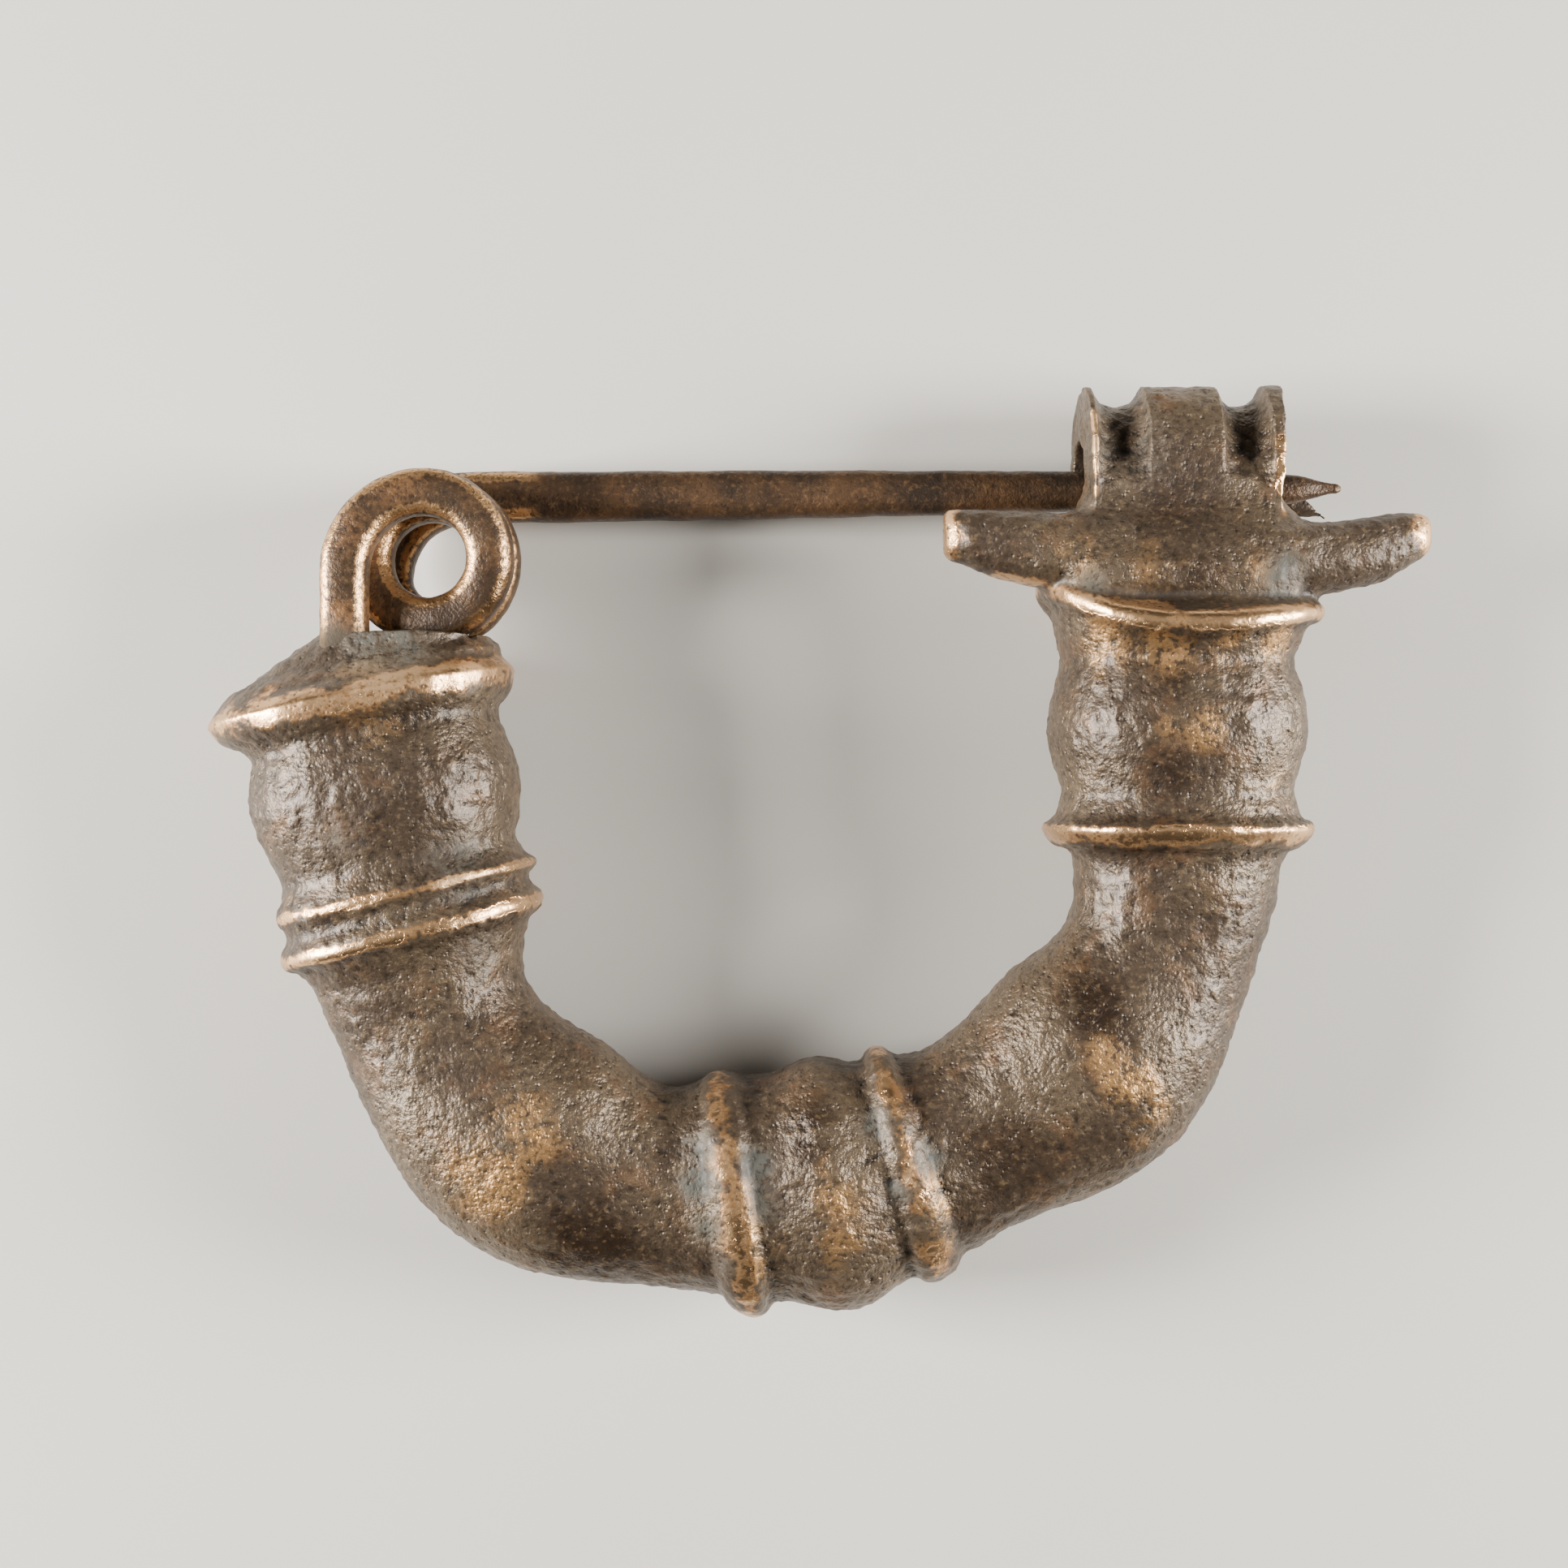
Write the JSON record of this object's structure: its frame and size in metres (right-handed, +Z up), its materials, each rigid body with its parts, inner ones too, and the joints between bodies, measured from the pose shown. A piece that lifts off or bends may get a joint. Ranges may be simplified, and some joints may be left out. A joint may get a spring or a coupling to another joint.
{
  "type": "fibula brooch",
  "caption": "Cast bronze bow brooch with ringed and beaded bow, horned fluted catch, coiled spring and pin.",
  "frame": {"origin": "centre of the brooch's outline, at the level of the flats on its back, on which it lies", "axes": "+X from the spring to the catch, +Y from the bow's crown to the pin, +Z up, out of the front"},
  "size_m": [0.0496, 0.0382, 0.0093],
  "materials": {
    "cast_bronze": "cast, pitted and patinated brown, rubbed golden on its raised edges",
    "wrought_bronze": "hammered and coiled wire, matt reddish brown patina"
  },
  "bodies": {
    "bow": {"bow": "cast_bronze", "spring": "wrought_bronze"},
    "pin": {"pin": "wrought_bronze"}
  },
  "joints": [
    {"name": "pin_spring", "type": "hinge", "parent": "bow", "child": "pin", "pos_m": [-0.01573, 0.01179, 0.0039], "axis": [0, 0, 1], "range_deg": [-4.5, 2], "stiffness_Nm_per_rad": 2.5}
  ]
}
